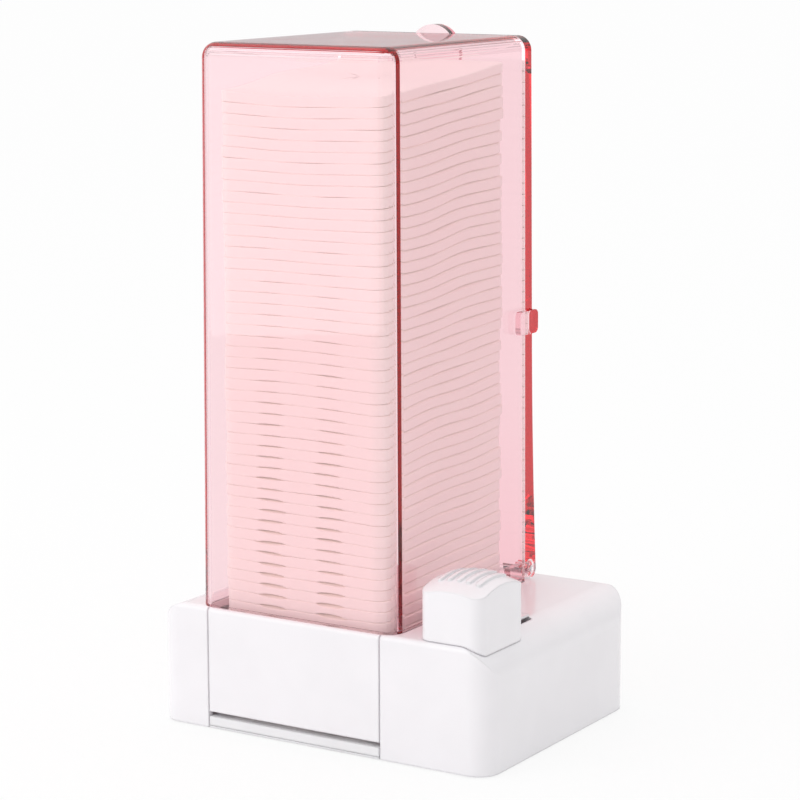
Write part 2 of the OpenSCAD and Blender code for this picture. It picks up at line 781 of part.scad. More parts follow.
// Thin plate on the housing behind the knob, which slides with it and covers its slot
module knob_apron() {
    x0 = slot_x0 - apron_over;
    y0 = knob_y0 + knob_d - knob_wall;
    y1 = slot_end + apron_past;
    color(WHITE) translate([(x0 + apron_x1) / 2, (y0 + y1) / 2, top_z + apron_gap])
        linear_extrude(apron_t) rounded_rect(apron_x1 - x0, y1 - y0, apron_r);
}

module slider_carriage() {
    cell_w = stem_w - 2 * stem_wall;
    cell_d = stem_d - 2 * stem_wall;
    skid_x0 = rail_x - rail_w / 2 - rail_gap - skid_t;
    skid_x1 = rail_x + rail_w / 2 + rail_gap + skid_t;
    ride_z = plate_top + rail_gap;
    beam_top = blade_top + beam_t;
    stem_rear = stem_y + stem_d / 2;
    color(WHITE) difference() {
        union() {
            // Beam that carries the blade
            translate([beam_x0, beam_y0, blade_top])
                cube([beam_x1 - beam_x0, beam_y1 - beam_y0, beam_t]);
            // Skids at both sides of the rail
            translate([skid_x0, beam_y0, ride_z])
                cube([skid_x1 - skid_x0, beam_y1 - beam_y0, blade_top - ride_z + eps]);
            // Stem up to the knob
            translate([knob_x - stem_w / 2, stem_y - stem_d / 2, blade_top])
                cube([stem_w, stem_d, stem_top - blade_top]);
            // Brace behind the stem, falling towards the blade
            along_x(knob_x - brace_t / 2, knob_x + brace_t / 2)
                polygon([[stem_rear - eps, beam_top - eps], [beam_y1 - brace_foot, beam_top - eps],
                    [stem_rear + brace_reach, beam_top + brace_h], [stem_rear - eps, brace_top]]);
        }
        // Groove over the rail
        translate([rail_x - rail_w / 2 - rail_gap, beam_y0 - 1, 0])
            cube([rail_w + 2 * rail_gap, beam_y1 - beam_y0 + 2, plate_top + rail_h + rail_gap]);
        // Cell inside the stem, open below
        translate([knob_x - cell_w / 2, stem_y - cell_d / 2, 0])
            cube([cell_w, cell_d, stem_top - stem_cap]);
        translate([knob_x, stem_y, 0]) cylinder(h = stem_top + 1, r = knob_screw_r + hole_gap);
        blade_screw_places() cylinder(h = far, r = knob_screw_r + hole_gap, center = true);
    }
}

module blade_screw_places() {
    for (i = [-0.5, 0.5])
        translate([blade_screw_x, blade_y0 + blade_d / 2 + i * blade_screw_pitch, 0]) children();
}

module pusher_blade() {
    nose = 1;       // slope on top of the blade's front edge
    color(WHITE) difference() {
        along_x(blade_x0, blade_x1)
            polygon([[blade_y0, blade_bottom], [blade_y0 + blade_d, blade_bottom],
                [blade_y0 + blade_d, blade_top], [blade_y0 + nose, blade_top],
                [blade_y0, blade_top - nose / 2]]);
        blade_screw_places()
            cylinder(h = far, r = knob_screw_r + pilot_gap, center = true);
    }
}

module knob_screw() {
    head_top = stem_top - stem_cap;
    color(STEEL) translate([knob_x, stem_y, head_top]) {
        translate([0, 0, -knob_screw_head_h]) cylinder(h = knob_screw_head_h, r = knob_screw_head_r);
        translate([0, 0, -eps]) cylinder(h = knob_screw_end - head_top, r = knob_screw_r);
    }
}

module blade_screws() {
    beam_top = blade_top + beam_t;
    color(STEEL) blade_screw_places() {
        translate([0, 0, beam_top]) cylinder(h = blade_screw_head_h, r = knob_screw_head_r);
        translate([0, 0, blade_bottom + blade_screw_in])
            cylinder(h = beam_top - blade_bottom, r = knob_screw_r);
    }
}

base_housing();
base_plate();
front_gate();
pad_tray();
pad_chute();
magazine_box();
cotton_pad_stack();
foot(-1, -1);  // foot_front_left
foot(1, -1);  // foot_front_right
foot(-1, 1);  // foot_rear_left
foot(1, 1);  // foot_rear_right
housing_screws();
chute_screws();
rear_door();
hinge_pin(-1);  // hinge_pin_left
hinge_pin(1);  // hinge_pin_right
slider_knob();
slider_carriage();
pusher_blade();
knob_screw();
blade_screws();
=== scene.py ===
"""Cotton pad holder: finishes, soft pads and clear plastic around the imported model.

Metres, +Z up, front towards -Y, origin on the table under the middle of the base.
"""

import logging
import math
from dataclasses import dataclass, field
from enum import Enum

import bpy
import numpy as np
from mathutils import Matrix, Vector


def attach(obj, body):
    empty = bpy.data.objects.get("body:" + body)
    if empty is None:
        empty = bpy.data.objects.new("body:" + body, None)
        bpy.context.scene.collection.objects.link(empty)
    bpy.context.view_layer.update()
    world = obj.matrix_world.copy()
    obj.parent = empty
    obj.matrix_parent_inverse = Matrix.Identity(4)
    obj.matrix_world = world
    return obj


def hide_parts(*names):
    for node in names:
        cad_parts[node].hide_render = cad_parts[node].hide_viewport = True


MM = 0.001
LOG = logging.getLogger("cotton_pad_holder")
WHITE = (1.0, 1.0, 1.0, 1.0)

# Numbers of the Mix node's colour sockets, whose names its other sockets share
MIX_FIRST, MIX_SECOND, MIX_RESULT = 6, 7, 2

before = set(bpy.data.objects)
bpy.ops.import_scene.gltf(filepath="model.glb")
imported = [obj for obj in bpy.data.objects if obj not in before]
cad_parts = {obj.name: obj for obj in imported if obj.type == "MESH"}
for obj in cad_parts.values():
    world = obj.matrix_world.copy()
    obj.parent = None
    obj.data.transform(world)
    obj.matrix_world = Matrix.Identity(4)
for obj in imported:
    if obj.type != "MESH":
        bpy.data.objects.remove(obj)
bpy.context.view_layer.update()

Array = np.ndarray
Point = tuple[float, float, float]
Span = tuple[float, float]


class Slot(Enum):
    """The record's material slots."""

    GLOSS = "white_gloss_plastic"
    SATIN = "white_satin_plastic"
    PINK = "pink_clear_plastic"
    COTTON = "cotton"
    RUBBER = "grey_rubber"
    STEEL = "zinc_steel"


def linear(colour: str) -> tuple[float, float, float, float]:
    """Turns an sRGB hex colour into linear light, by the standard's curve.

    Args:
        colour: six hex digits after a hash sign.

    Returns:
        Red, green, blue and an alpha of 1.
    """
    parts = [int(colour[i:i + 2], 16) / 255 for i in (1, 3, 5)]
    curve = [p / 12.92 if p <= 0.04045 else ((p + 0.055) / 1.055) ** 2.4 for p in parts]
    return (*curve, 1.0)


def add_node(
    tree: bpy.types.NodeTree, kind: str, settings: dict | None = None, inputs: dict | None = None
) -> bpy.types.Node:
    """Adds one node with its settings, values and links.

    Args:
        tree: the node tree that takes the node.
        kind: the node's type name.
        settings: property names and values.
        inputs: input names or numbers, each with a plain value or the output that feeds it.

    Returns:
        The new node.
    """
    made = tree.nodes.new(kind)
    for name, value in (settings or {}).items():
        setattr(made, name, value)
    for name, value in (inputs or {}).items():
        if isinstance(value, bpy.types.NodeSocket):
            tree.links.new(value, made.inputs[name])
        else:
            made.inputs[name].default_value = value
    return made


def new_material(name: str) -> tuple[bpy.types.Material, bpy.types.NodeTree, bpy.types.Node]:
    """Makes an empty node material.

    Args:
        name: the material's name.

    Returns:
        The material, its tree and its output node.
    """
    material = bpy.data.materials.new(name)
    material.use_nodes = True
    tree = material.node_tree
    tree.nodes.clear()
    return material, tree, add_node(tree, "ShaderNodeOutputMaterial")


@dataclass(frozen=True)
class MouldedPlastic:
    """ABS, injection moulded: pale and opaque, with a soft gloss, faint flow marks and spark grain.

    The mould's edges are never sharp, so the light turns softly round them. Real spark grain is some
    0.05 mm wide and too fine to show, so it is drawn coarser.
    """

    name: str
    colour: str
    shade: str
    roughness: float
    grain_mm: float
    grain_height_mm: float
    grain_detail: float = 3.0
    flow_mm: float = 18.0
    flow_detail: float = 2.0
    flow_span: Span = (0.35, 0.65)
    gloss_span: Span = (0.3, 0.7)
    gloss_spread: float = 0.1
    edge_mm: float = 0.7
    edge_samples: int = 6
    ior: float = 1.52

    def build(self) -> bpy.types.Material:
        """Builds the node material.

        Returns:
            The finish.
        """
        material, tree, output = new_material(self.name)
        place = add_node(tree, "ShaderNodeTexCoord").outputs["Object"]
        flow = add_node(tree, "ShaderNodeTexNoise", None, {
            "Vector": place, "Scale": 1 / (self.flow_mm * MM), "Detail": self.flow_detail}).outputs["Fac"]
        tone = add_node(tree, "ShaderNodeMapRange", None, {
            "Value": flow, "From Min": self.flow_span[0], "From Max": self.flow_span[1]})
        tint = add_node(tree, "ShaderNodeMix", {"data_type": "RGBA"}, {
            "Factor": tone.outputs["Result"],
            MIX_FIRST: linear(self.colour), MIX_SECOND: linear(self.shade)})
        gloss = add_node(tree, "ShaderNodeMapRange", None, {
            "Value": flow, "From Min": self.gloss_span[0], "From Max": self.gloss_span[1],
            "To Min": self.roughness * (1 - self.gloss_spread),
            "To Max": self.roughness * (1 + self.gloss_spread)})
        grain = add_node(tree, "ShaderNodeTexNoise", None, {
            "Vector": place, "Scale": 1 / (self.grain_mm * MM), "Detail": self.grain_detail})
        edge = add_node(tree, "ShaderNodeBevel", {"samples": self.edge_samples}, {
            "Radius": self.edge_mm * MM})
        bump = add_node(tree, "ShaderNodeBump", None, {
            "Height": grain.outputs["Fac"], "Distance": self.grain_height_mm * MM, "Strength": 1.0,
            "Normal": edge.outputs["Normal"]})
        shader = add_node(tree, "ShaderNodeBsdfPrincipled", None, {
            "Base Color": tint.outputs[MIX_RESULT], "Roughness": gloss.outputs["Result"],
            "IOR": self.ior, "Normal": bump.outputs["Normal"]})
        tree.links.new(shader.outputs["BSDF"], output.inputs["Surface"])
        return material


@dataclass(frozen=True)
class ClearPlastic:
    """Clear tinted polystyrene, polished: pale when looked through, deep red along its edges.

    The colour lies in the plastic itself. Light that runs along inside a wall goes through
    centimetres of it and comes out red, and light that crosses a wall goes through 2 mm only.
    """

    name: str = "clear_pink_polystyrene"
    density: float = 72.0
    colour: str = "#F54480"
    roughness: float = 0.02
    ior: float = 1.5
    wave_mm: float = 14.0
    wave_detail: float = 1.0
    wave_height_mm: float = 0.015

    def build(self) -> bpy.types.Material:
        """Builds the node material: a clear surface and an absorbing inside.

        Returns:
            The finish.
        """
        material, tree, output = new_material(self.name)
        place = add_node(tree, "ShaderNodeTexCoord").outputs["Object"]
        waves = add_node(tree, "ShaderNodeTexNoise", None, {
            "Vector": place, "Scale": 1 / (self.wave_mm * MM), "Detail": self.wave_detail})
        bump = add_node(tree, "ShaderNodeBump", None, {
            "Height": waves.outputs["Fac"], "Distance": self.wave_height_mm * MM, "Strength": 1.0})
        shader = add_node(tree, "ShaderNodeBsdfPrincipled", None, {
            "Base Color": WHITE, "Roughness": self.roughness, "IOR": self.ior,
            "Normal": bump.outputs["Normal"], "Transmission Weight": 1.0})
        inside = add_node(tree, "ShaderNodeVolumeAbsorption", None, {
            "Color": linear(self.colour), "Density": self.density})
        # Shadows and the cotton's own light pass straight through, and only the inside colours them
        path = add_node(tree, "ShaderNodeLightPath")
        passing = add_node(tree, "ShaderNodeMath", {"operation": "MAXIMUM"}, {
            0: path.outputs["Is Shadow Ray"], 1: path.outputs["Is Diffuse Ray"]})
        clear = add_node(tree, "ShaderNodeBsdfTransparent")
        pick = add_node(tree, "ShaderNodeMixShader", None, {
            "Fac": passing.outputs[0], 1: shader.outputs["BSDF"], 2: clear.outputs[0]})
        tree.links.new(pick.outputs[0], output.inputs["Surface"])
        tree.links.new(inside.outputs["Volume"], output.inputs["Volume"])
        return material


@dataclass(frozen=True)
class CottonFleece:
    """Carded cotton: matt, soft and warm white, with loose fibres that catch the light.

    A real fibre is some 0.02 mm thick and too fine to show, so tufts of fibres are drawn, with painted
    shade that turns the colour a little darker in the hollows between them.
    """

    name: str = "carded_cotton"
    colour: str = "#FFFCF8"
    # Colour of the painted shade in the hollows between the tufts
    shade: str = "#FEF8F2"
    roughness: float = 0.95
    sheen: float = 0.4
    sheen_roughness: float = 0.5
    fibre_mm: float = 0.5
    fibre_detail: float = 4.0
    fibre_curl: float = 0.6
    fibre_span: Span = (0.3, 0.7)
    fibre_height_mm: float = 0.08
    fibre_strength: float = 0.6

    def build(self) -> bpy.types.Material:
        """Builds the node material.

        Returns:
            The finish.
        """
        material, tree, output = new_material(self.name)
        place = add_node(tree, "ShaderNodeTexCoord").outputs["Object"]
        fibres = add_node(tree, "ShaderNodeTexNoise", None, {
            "Vector": place, "Scale": 1 / (self.fibre_mm * MM), "Detail": self.fibre_detail,
            "Distortion": self.fibre_curl})
        # Painted shade: the lower the fibres' bump, the more the colour turns to the darker shade
        painted_hollow_shade = add_node(tree, "ShaderNodeMapRange", None, {
            "Value": fibres.outputs["Fac"], "From Min": self.fibre_span[0],
            "From Max": self.fibre_span[1], "To Min": 1.0, "To Max": 0.0})
        tint = add_node(tree, "ShaderNodeMix", {"data_type": "RGBA"}, {
            "Factor": painted_hollow_shade.outputs["Result"],
            MIX_FIRST: linear(self.colour), MIX_SECOND: linear(self.shade)})
        bump = add_node(tree, "ShaderNodeBump", None, {
            "Height": fibres.outputs["Fac"], "Distance": self.fibre_height_mm * MM,
            "Strength": self.fibre_strength})
        shader = add_node(tree, "ShaderNodeBsdfPrincipled", None, {
            "Base Color": tint.outputs[MIX_RESULT], "Roughness": self.roughness,
            "Normal": bump.outputs["Normal"], "Sheen Weight": self.sheen,
            "Sheen Roughness": self.sheen_roughness})
        tree.links.new(shader.outputs["BSDF"], output.inputs["Surface"])
        return material


@dataclass(frozen=True)
class PlatedSteel:
    """Zinc-plated steel: grey and bright, with fine turning marks.

    Real marks are some 0.05 mm apart and too fine to show, so they are drawn coarser.
    """

    name: str = "zinc_plated_steel"
    colour: str = "#C4C7CB"
    roughness: Span = (0.25, 0.4)
    mark_mm: float = 0.4
    mark_detail: float = 3.0
    mark_span: Span = (0.3, 0.7)

    def build(self) -> bpy.types.Material:
        """Builds the node material.

        Returns:
            The finish.
        """
        material, tree, output = new_material(self.name)
        place = add_node(tree, "ShaderNodeTexCoord").outputs["Object"]
        marks = add_node(tree, "ShaderNodeTexNoise", None, {
            "Vector": place, "Scale": 1 / (self.mark_mm * MM), "Detail": self.mark_detail})
        gloss = add_node(tree, "ShaderNodeMapRange", None, {
            "Value": marks.outputs["Fac"], "From Min": self.mark_span[0], "From Max": self.mark_span[1],
            "To Min": self.roughness[0], "To Max": self.roughness[1]})
        shader = add_node(tree, "ShaderNodeBsdfPrincipled", None, {
            "Base Color": linear(self.colour), "Metallic": 1.0, "Roughness": gloss.outputs["Result"]})
        tree.links.new(shader.outputs["BSDF"], output.inputs["Surface"])
        return material


@dataclass(frozen=True)
class SoftRubber:
    """Thermoplastic rubber, moulded: dull grey with a fine matt grain.

    Real mould grain is some 0.05 mm wide and too fine to show, so it is drawn coarser.
    """

    name: str = "thermoplastic_rubber"
    colour: str = "#6A686C"
    roughness: Span = (0.6, 0.8)
    grain_mm: float = 0.3
    grain_detail: float = 4.0
    grain_span: Span = (0.3, 0.7)
    grain_height_mm: float = 0.05

    def build(self) -> bpy.types.Material:
        """Builds the node material.

        Returns:
            The finish.
        """
        material, tree, output = new_material(self.name)
        place = add_node(tree, "ShaderNodeTexCoord").outputs["Object"]
        grain = add_node(tree, "ShaderNodeTexNoise", None, {
            "Vector": place, "Scale": 1 / (self.grain_mm * MM), "Detail": self.grain_detail})
        gloss = add_node(tree, "ShaderNodeMapRange", None, {
            "Value": grain.outputs["Fac"], "From Min": self.grain_span[0],
            "From Max": self.grain_span[1], "To Min": self.roughness[0], "To Max": self.roughness[1]})
        bump = add_node(tree, "ShaderNodeBump", None, {
            "Height": grain.outputs["Fac"], "Distance": self.grain_height_mm * MM, "Strength": 1.0})
        shader = add_node(tree, "ShaderNodeBsdfPrincipled", None, {
            "Base Color": linear(self.colour), "Normal": bump.outputs["Normal"],
            "Roughness": gloss.outputs["Result"]})
        tree.links.new(shader.outputs["BSDF"], output.inputs["Surface"])
        return material


def build_finishes() -> dict[Slot, bpy.types.Material]:
    """Builds one finish for each of the record's slots.

    Returns:
        The finishes by slot.
    """
    return {
        Slot.GLOSS: MouldedPlastic(
            name="moulded_abs_gloss", colour="#F6F4F7", shade="#F3F1F4", roughness=0.22,
            grain_mm=0.6, grain_height_mm=0.004).build(),
        Slot.SATIN: MouldedPlastic(
            name="moulded_abs_satin", colour="#F0EFF1", shade="#ECEBED", roughness=0.42,
            grain_mm=0.35, grain_height_mm=0.01).build(),
        Slot.PINK: ClearPlastic().build(),
        Slot.COTTON: CottonFleece().build(),
        Slot.RUBBER: SoftRubber().build(),
        Slot.STEEL: PlatedSteel().build(),
    }


@dataclass
class SubAssembly:
    """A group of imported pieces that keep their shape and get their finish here."""

    name: str
    pieces: dict[str, Slot]

    def dress(self, finishes: dict[Slot, bpy.types.Material]) -> None:
        """Gives each piece its finish and reports it.

        Args:
            finishes: the finishes by slot.
        """
        for node, slot in self.pieces.items():
            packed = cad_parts[node]
            packed.data.materials.clear()
            packed.data.materials.append(finishes[slot])
            LOG.info("%s: %s in %s", self.name, node, slot.value)


@dataclass
class Base(SubAssembly):
    """White housing with its plate, gate, tray, chute, screws and feet."""

    name: str = "base"
    pieces: dict[str, Slot] = field(default_factory=lambda: {
        "base_housing": Slot.GLOSS, "front_gate": Slot.GLOSS, "base_plate": Slot.SATIN,
        "pad_tray": Slot.SATIN, "pad_chute": Slot.SATIN, "housing_screws": Slot.STEEL,
        "chute_screws": Slot.STEEL, "foot_front_left": Slot.RUBBER, "foot_front_right": Slot.RUBBER,
        "foot_rear_left": Slot.RUBBER, "foot_rear_right": Slot.RUBBER})


@dataclass
class Magazine(SubAssembly):
    """Clear box, its rear door and the door's two pins."""

    name: str = "magazine"
    pieces: dict[str, Slot] = field(default_factory=lambda: {
        "magazine_box": Slot.PINK, "rear_door": Slot.PINK, "hinge_pin_left": Slot.STEEL,
        "hinge_pin_right": Slot.STEEL})


@dataclass
class Slider(SubAssembly):
    """Knob, carriage and blade, which slide as one."""

    name: str = "slider"
    pieces: dict[str, Slot] = field(default_factory=lambda: {
        "slider_knob": Slot.GLOSS, "slider_carriage": Slot.SATIN, "pusher_blade": Slot.SATIN,
        "knob_screw": Slot.STEEL, "blade_screws": Slot.STEEL})


def ring_faces(rings: int, around: int, start: int) -> list[list[int]]:
    """Lists the faces of a closed form: rings joined by quads, with a pole at each end.

    Args:
        rings: number of rings, from the top one down.
        around: points in each ring.
        start: number of the form's first vertex in the mesh.

    Returns:
        Vertex numbers of each face. The upper pole comes after the rings, then the lower one.
    """
    ring, point = np.meshgrid(np.arange(rings - 1), np.arange(around), indexing="ij")
    after = (point + 1) % around
    quads = np.stack([(ring + 1) * around + point, (ring + 1) * around + after,
                      ring * around + after, ring * around + point], axis=-1).reshape(-1, 4)
    first = np.arange(around)
    turn = (first + 1) % around
    last = (rings - 1) * around
    upper = np.stack([first, turn, np.full(around, rings * around)], axis=-1)
    lower = np.stack([last + turn, last + first, np.full(around, rings * around + 1)], axis=-1)
    return (quads + start).tolist() + (upper + start).tolist() + (lower + start).tolist()


def mesh_object(
    name: str, points: Array, faces: list[list[int]], material: bpy.types.Material
) -> bpy.types.Object:
    """Makes a smooth mesh object at the origin.

    Args:
        name: the piece's name.
        points: vertex places in millimetres.
        faces: lists of vertex numbers.
        material: the finish.

    Returns:
        The new object, linked to the scene.
    """
    mesh = bpy.data.meshes.new(name)
    mesh.from_pydata(points * MM, [], faces)
    mesh.polygons.foreach_set("use_smooth", np.ones(len(mesh.polygons), bool))
    mesh.materials.append(material)
    mesh.update()
    made = bpy.data.objects.new(name, mesh)
    bpy.context.scene.collection.objects.link(made)
    return made


@dataclass
class PadStack:
    """The full stack of soft square pads inside the magazine. Sizes in millimetres."""

    # One pad, and the stack with its top lifted at the back
    width: float = 50.0
    depth: float = 60.0
    corner: float = 3.0
    count: int = 58
    height: float = 167.0
    lift: float = 5.4
    middle_x: float = -7.2
    front_y: float = -34.95
    floor_z: float = 3.55
    seed: int = 7

    # Blade under the rear half of the stack, and how the bend over it dies out
    blade_line_y: float = 0.4
    blade_top_z: float = 5.85
    bend_length: float = 7.0
    bend_pads: float = 6.0

    # Points along a corner and along the right, rear, left and front side
    arc_points: int = 4
    side_points: tuple[int, int, int, int] = (26, 20, 26, 52)

    # Rings from the middle to the rim: how far they are drawn in, and their share of the half height
    top_inset: tuple[float, ...] = (26.0, 18.0, 10.0, 5.0)
    rim_inset: tuple[float, ...] = (2.2, 0.9, 0.3, 0.06, 0.0, 0.0)
    rim_level: tuple[float, ...] = (1.0, 1.0, 1.0, 0.985, 0.93, 0.72)
    draw_in: float = 1.15
    least_ring: float = 0.02

    # Roundness of the rim, small at the front where the wall presses the pads flat
    rim_length: float = 0.45
    front_rim: float = 0.01
    side_rim: float = 0.3
    touch: float = 0.003
    least_half: float = 0.25

    # Pressed channels: their places and shares, and the powers by which they fade upwards
    press_x: tuple[float, ...] = (-9.4, 9.0, 24.6)
    press_share: tuple[float, ...] = (1.0, 1.0, 0.7)
    press_fade: tuple[float, ...] = (2.5, 2.5, 14.0)
    press_half: float = 4.2
    press_low: float = 1.7
    press_high: float = 0.02
    press_reach: float = 2.4
    press_rest: float = 0.05
    press_least: float = 0.75
    press_vary: float = 0.5
    press_move: float = 0.9

    # How far the pads lie out of line and how much their outlines swell, with the front kept calm
    slip_x: float = 0.3
    slip_y: float = 0.03
    wobble: float = 0.3
    wobble_lobes: int = 5
    wobble_reach: float = 0.2
    rear_room: float = 0.1
    front_calm: float = 0.1
    calm_depth: float = 6.0

    # Long waves across x, across y and slantwise, and a small ripple of each pad
    wave_height: float = 0.28
    wave_start: float = 4.0
    wave_low: float = 0.6
    wave_growth: float = 0.8
    wave_length: Point = (7.3, 6.1, 13.0)
    wave_drift: Point = (0.13, 0.19, -0.11)
    wave_share: Point = (0.45, 0.6, 0.7)
    ripple_height: float = 0.05
    ripple_length: Span = (4.0, 5.0)

    def outline(self) -> Array:
        """Points of one pad's outline, counter-clockwise from the front right corner.

        A quarter circle at each corner, then a straight side, with the most points along the front.

        Returns:
            x and y of each point, with x measured from the middle and y from the front edge.
        """
        half_w, r = self.width / 2, self.corner
        quarter = np.linspace(0, np.pi / 2, self.arc_points, endpoint=False)
        centres = [(half_w - r, r), (half_w - r, self.depth - r), (r - half_w, self.depth - r),
                   (r - half_w, r)]
        parts = []
        for side, (centre, points) in enumerate(zip(centres, self.side_points)):
            turn = quarter + (side - 1) * np.pi / 2
            parts.append(np.array(centre) + r * np.stack([np.cos(turn), np.sin(turn)], axis=-1))
            out = r * np.array([math.cos(side * np.pi / 2), math.sin(side * np.pi / 2)])
            start, end = np.array(centre) + out, np.array(centres[(side + 1) % len(centres)]) + out
            share = np.linspace(0, 1, points, endpoint=False)[:, None]
            parts.append(start + share * (end - start))
        return np.concatenate(parts)

    def interface(self, i: int, x: Array, y: Array, waves: Array) -> Array:
        """Height of the surface where pad i meets the pad below it.

        The stack's even pitch, a slant that grows with height, a smooth step over the blade that dies
        out upwards, and three long waves whose phase drifts from pad to pad. The third wave runs
        slantwise, twice as fast along y as along x.

        Args:
            i: number of the pad, from the bottom.
            x: sideways places from the middle.
            y: places behind the front edge.
            waves: phases of the three waves.

        Returns:
            Heights.
        """
        share = i / (self.count - 1)
        slant = math.tan(math.atan(self.lift / self.depth) * min(share, 1.0))
        run = np.clip((y + self.front_y - self.blade_line_y + self.bend_length) / self.bend_length, 0, 1)
        bend = run * run * (3 - 2 * run) * math.exp(-i / self.bend_pads)
        size = self.wave_height * min(i / self.wave_start, 1.0) * (self.wave_low + self.wave_growth * share)
        runs = zip((x, y, x + 2 * y), self.wave_length, waves, self.wave_drift, self.wave_share)
        wave = sum(np.sin(way / length + phase + drift * i) * part
                   for way, length, phase, drift, part in runs)
        return (self.floor_z + self.height / self.count * i + y * slant
                + (self.blade_top_z - self.floor_z) * bend + size * wave)

    def pressed(self, i: int, x: Array, y: Array, rng: np.random.Generator) -> Array:
        """Depth by which the pressed channels open the gap above and below pad i.

        Each channel is half an ellipse across x. It is deepest at the front edge and in the lowest
        pads, and fades towards the back and the top.

        Args:
            i: number of the pad, from the bottom.
            x: sideways places from the middle.
            y: places behind the front edge.
            rng: the stack's random numbers.

        Returns:
            Depths.
        """
        low = (1 - i / self.count) ** np.array(self.press_fade)
        channels = len(self.press_x)
        varied = self.press_least + self.press_vary * rng.random(channels)
        sizes = (self.press_high + self.press_low * low) * self.press_share * varied
        moves = rng.uniform(-self.press_move, self.press_move, channels)
        depth = np.zeros_like(x)
        for place, size, move in zip(self.press_x, sizes, moves):
            across = np.clip(1 - ((x - place - move) / self.press_half) ** 2, 0, 1)
            depth += size * np.sqrt(across)
        fade = np.clip(1 - y / self.press_reach, 0, 1)
        return depth * (self.press_rest + (1 - self.press_rest) * fade)

    def pad(self, i: int, rng: np.random.Generator, waves: Array) -> Array:
        """Places of one pad's points: rings that shrink towards a pole above and one below.

        Each ring is the outline drawn in by a distance. Its height is the middle between the two
        interfaces, plus or minus half their distance less a hair's gap, a round along the rim and
        the pressed channels.

        Args:
            i: number of the pad, from the bottom.
            rng: the stack's random numbers.
            waves: phases of the stack's waves.

        Returns:
            Ring points from the top ring down, then the upper and the lower pole.
        """
        outline = self.outline()
        middle = np.array([0.0, self.depth / 2])
        inner = self.top_inset if i == self.count - 1 else ()
        drawn = inner + self.rim_inset
        level = (1.0,) * len(inner) + self.rim_level
        inset = np.array(drawn + drawn[::-1])[:, None]
        side = np.array(level + tuple(-part for part in level[::-1]))[:, None]
        away = outline - middle
        distance = np.linalg.norm(away, axis=1)
        scale = np.clip(1 - self.draw_in * inset / distance[None], self.least_ring, 1)
        place = middle + away[None] * scale[..., None]
        x, y = place[..., 0], place[..., 1]
        slip = rng.uniform(-1, 1, 2) * (self.slip_x, self.slip_y)
        phase = rng.uniform(0, 2 * np.pi, 3)
        lower = self.interface(i, x, y, waves)
        upper = self.interface(i + 1, x, y, waves)
        near = np.exp(-inset / self.rim_length)
        beside = np.clip(y / self.calm_depth, 0, 1)
        loose = self.front_calm + (1 - self.front_calm) * beside
        rim = self.front_rim + self.side_rim * beside
        trim = self.touch + rim * near + self.pressed(i, x, y, rng) / 2
        along_x, along_y = self.ripple_length
        ripple = self.ripple_height * np.sin(x / along_x + phase[0]) * np.sin(y / along_y + phase[1])
        height = (lower + upper) / 2 + ripple
        half = np.maximum((upper - lower) / 2 - trim, self.least_half)
        angle = np.arctan2(away[:, 1], away[:, 0])
        lobes = np.sin(angle * self.wobble_lobes + phase[2])
        bulge = self.wobble * lobes * (near > self.wobble_reach) * loose
        px = x + self.middle_x + slip[0] + bulge * away[:, 0] / distance
        py = y + self.front_y + slip[1] + np.minimum(bulge * away[:, 1] / distance, self.rear_room)
        rings = np.stack([px, py, height + side * half], axis=-1)
        return np.concatenate([rings.reshape(-1, 3), rings[0].mean(axis=0)[None],
                               rings[-1].mean(axis=0)[None]])

    def build(self, material: bpy.types.Material) -> bpy.types.Object:
        """Builds all pads as closed pillows in one mesh.

        Args:
            material: the cotton finish.

        Returns:
            The stack.
        """
        rng = np.random.default_rng(self.seed)
        waves = rng.uniform(0, 2 * np.pi, len(self.wave_length))
        around = len(self.outline())
        points, faces, total = [], [], 0
        for i in range(self.count):
            pad_points = self.pad(i, rng, waves)
            faces += ring_faces((len(pad_points) - 2) // around, around, total)
            points.append(pad_points)
            total += len(pad_points)
        made = mesh_object("cotton_pads", np.concatenate(points), faces, material)
        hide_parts("cotton_pad_stack")
        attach(made, "base")
        LOG.info("pads: %d in one piece, %d points", self.count, total)
        return made


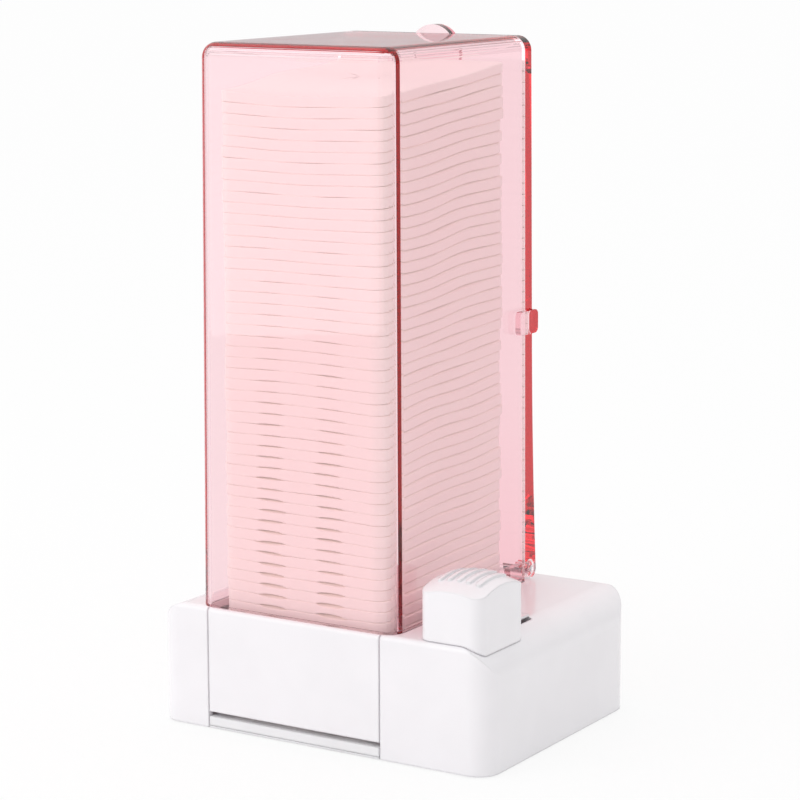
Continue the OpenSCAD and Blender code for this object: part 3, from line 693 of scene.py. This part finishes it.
@dataclass(frozen=True)
class PhotoStage:
    """Camera at the photograph's angle, pale floor and soft studio light."""

    eye: Point = (0.3832, -0.6126, 0.2195)
    target: Point = (0.00373, -0.00443, 0.08783)
    roll: float = -0.0028
    focal_mm: float = 123.34
    sensor_mm: float = 36.0
    near_clip: float = 0.01
    far_clip: float = 40.0
    floor_half: float = 12.0
    floor_colour: str = "#F4F4F4"
    floor_white: float = 0.82
    horizon_level: float = 0.48
    zenith_level: float = 1.06
    zenith_from: float = 0.7
    left_level: float = 1.2
    right_level: float = 0.9
    lamp_aim: Point = (0.0, 0.0, 0.08)
    key_place: Point = (-0.7, -1.2, 1.0)
    key_size: float = 0.9
    key_power: float = 2.0
    low_place: Point = (-0.34, -0.52, 0.22)
    low_size: float = 0.42
    low_power: float = 0.4
    bounces: int = 96
    soft_bounces: int = 8

    def camera(self) -> None:
        """Sets the camera."""
        data = bpy.data.cameras.new("photo_camera")
        data.lens, data.sensor_width = self.focal_mm, self.sensor_mm
        data.clip_start, data.clip_end = self.near_clip, self.far_clip
        made = bpy.data.objects.new("photo_camera", data)
        bpy.context.scene.collection.objects.link(made)
        ahead = (Vector(self.target) - Vector(self.eye)).normalized()
        right = ahead.cross(Vector((0, 0, 1))).normalized()
        up = right.cross(ahead)
        c, s = math.cos(self.roll), math.sin(self.roll)
        axes = Matrix((c * right + s * up, c * up - s * right, -ahead)).transposed()
        made.matrix_world = Matrix.Translation(self.eye) @ axes.to_4x4()
        bpy.context.scene.camera = made

    def floor(self) -> None:
        """Adds the pale floor, mostly white where it is seen, mirrored or looked through to."""
        mesh = bpy.data.meshes.new("floor")
        half = self.floor_half
        mesh.from_pydata([(-half, -half, 0), (half, -half, 0), (half, half, 0), (-half, half, 0)], [],
                         [(0, 1, 2, 3)])
        made = bpy.data.objects.new("floor", mesh)
        bpy.context.scene.collection.objects.link(made)
        material, tree, output = new_material("pale_floor")
        shader = add_node(tree, "ShaderNodeBsdfDiffuse", None, {"Color": linear(self.floor_colour)})
        white = add_node(tree, "ShaderNodeEmission", None, {"Color": WHITE, "Strength": 1.0})
        path = add_node(tree, "ShaderNodeLightPath")
        mirrored = add_node(tree, "ShaderNodeMath", {"operation": "MAXIMUM"}, {
            0: path.outputs["Is Glossy Ray"], 1: path.outputs["Is Transmission Ray"]})
        seen = add_node(tree, "ShaderNodeMath", {"operation": "MAXIMUM"}, {
            0: path.outputs["Is Camera Ray"], 1: mirrored.outputs[0]})
        share = add_node(tree, "ShaderNodeMath", {"operation": "MULTIPLY"}, {
            0: seen.outputs[0], 1: self.floor_white})
        pick = add_node(tree, "ShaderNodeMixShader", None, {
            "Fac": share.outputs[0], 1: shader.outputs[0], 2: white.outputs[0]})
        tree.links.new(pick.outputs[0], output.inputs["Surface"])
        made.data.materials.append(material)

    def world(self) -> None:
        """Sets an even studio world, brighter above and on the left."""
        world = bpy.data.worlds.new("studio")
        bpy.context.scene.world = world
        world.use_nodes = True
        tree = world.node_tree
        tree.nodes.clear()
        place = add_node(tree, "ShaderNodeTexCoord").outputs["Generated"]
        axes = add_node(tree, "ShaderNodeSeparateXYZ", None, {0: place})
        height = add_node(tree, "ShaderNodeMapRange", None, {
            "Value": axes.outputs["Z"], "From Min": 0.0, "From Max": self.zenith_from,
            "To Min": self.horizon_level, "To Max": self.zenith_level})
        side = add_node(tree, "ShaderNodeMapRange", None, {
            "Value": axes.outputs["X"], "From Min": -1.0, "From Max": 1.0,
            "To Min": self.left_level, "To Max": self.right_level})
        level = add_node(tree, "ShaderNodeMath", {"operation": "MULTIPLY"}, {
            0: height.outputs["Result"], 1: side.outputs["Result"]})
        light = add_node(tree, "ShaderNodeBackground", None, {
            "Color": WHITE, "Strength": level.outputs[0]})
        output = add_node(tree, "ShaderNodeOutputWorld")
        tree.links.new(light.outputs[0], output.inputs["Surface"])

    def lamp(self, name: str, place: Point, size: float, power: float) -> None:
        """Adds one square soft lamp that faces the object's middle.

        Args:
            name: the lamp's name.
            place: where it stands.
            size: length of its sides.
            power: watts.
        """
        data = bpy.data.lights.new(name, "AREA")
        data.size, data.energy = size, power
        made = bpy.data.objects.new(name, data)
        bpy.context.scene.collection.objects.link(made)
        made.location = place
        ahead = Vector(self.lamp_aim) - Vector(place)
        made.rotation_euler = ahead.to_track_quat("-Z", "Y").to_euler()

    def light_paths(self) -> None:
        """Lets light run far enough inside the clear walls for their edges to glow."""
        cycles = bpy.context.scene.cycles
        cycles.max_bounces = self.bounces
        cycles.glossy_bounces = self.bounces
        cycles.diffuse_bounces = self.soft_bounces
        cycles.transmission_bounces = self.bounces

    def build(self) -> None:
        """Builds the whole stage."""
        self.light_paths()
        self.camera()
        self.floor()
        self.world()
        self.lamp("key_light", self.key_place, self.key_size, self.key_power)
        self.lamp("low_front_light", self.low_place, self.low_size, self.low_power)
        bpy.context.scene.view_settings.view_transform = "Standard"


def main() -> None:
    """Builds the stage, the finishes and every sub-assembly in order."""
    logging.basicConfig(level=logging.INFO)
    PhotoStage().build()
    finishes = build_finishes()
    for part in (Base(), Magazine(), Slider()):
        part.dress(finishes)
    PadStack().build(finishes[Slot.COTTON])


if __name__ == "__main__":
    main()
